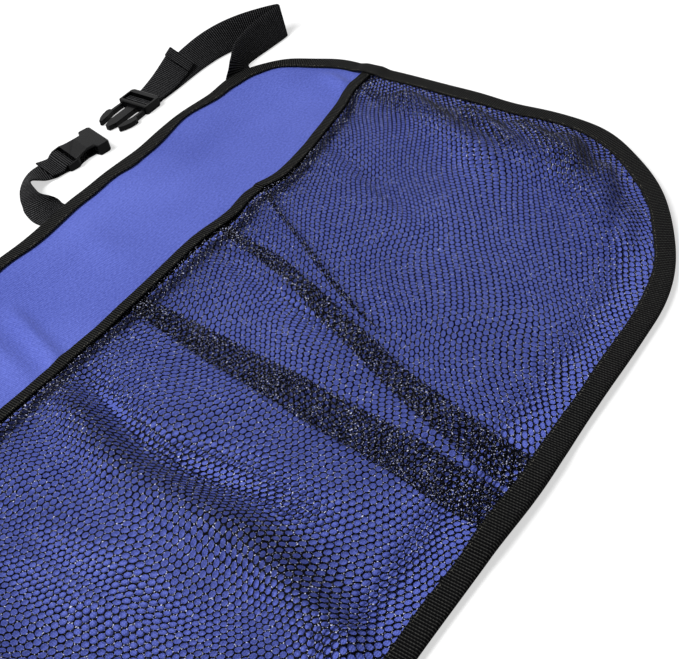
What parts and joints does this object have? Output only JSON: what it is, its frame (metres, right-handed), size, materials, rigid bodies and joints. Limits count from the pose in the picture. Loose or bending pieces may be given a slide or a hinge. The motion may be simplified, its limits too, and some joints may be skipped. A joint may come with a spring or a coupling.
{
  "type": "trunk organizer",
  "caption": "Flat fabric organizer panel with a full-width net pocket, a bound edge and webbing straps that clip together with side-release buckles.",
  "frame": {"origin": "centre of the backing panel's flat back face", "axes": "+X along the panel's width, +Y towards the edge with the straps, +Z out of the panel's front, where the net pocket is"},
  "size_m": [0.9558, 0.4615, 0.024],
  "materials": {
    "oxford": "coated oxford cloth, royal blue, matt",
    "tape": "ribbed polyester binding tape, black",
    "net": "warp-knit hexagonal net, black",
    "webbing": "woven polypropylene webbing, black",
    "acetal": "moulded acetal, dark grey, satin"
  },
  "bodies": {
    "root": {"backing_panel": "oxford", "edge_binding": "tape", "mesh_pocket": "net", "pocket_mouth_binding": "tape", "strap_short_right": "webbing", "strap_long_right": "webbing", "buckle_socket_right": "acetal", "buckle_plug_right": "acetal", "strap_short_left": "webbing", "strap_long_left": "webbing", "buckle_socket_left": "acetal", "buckle_plug_left": "acetal"}
  },
  "joints": []
}
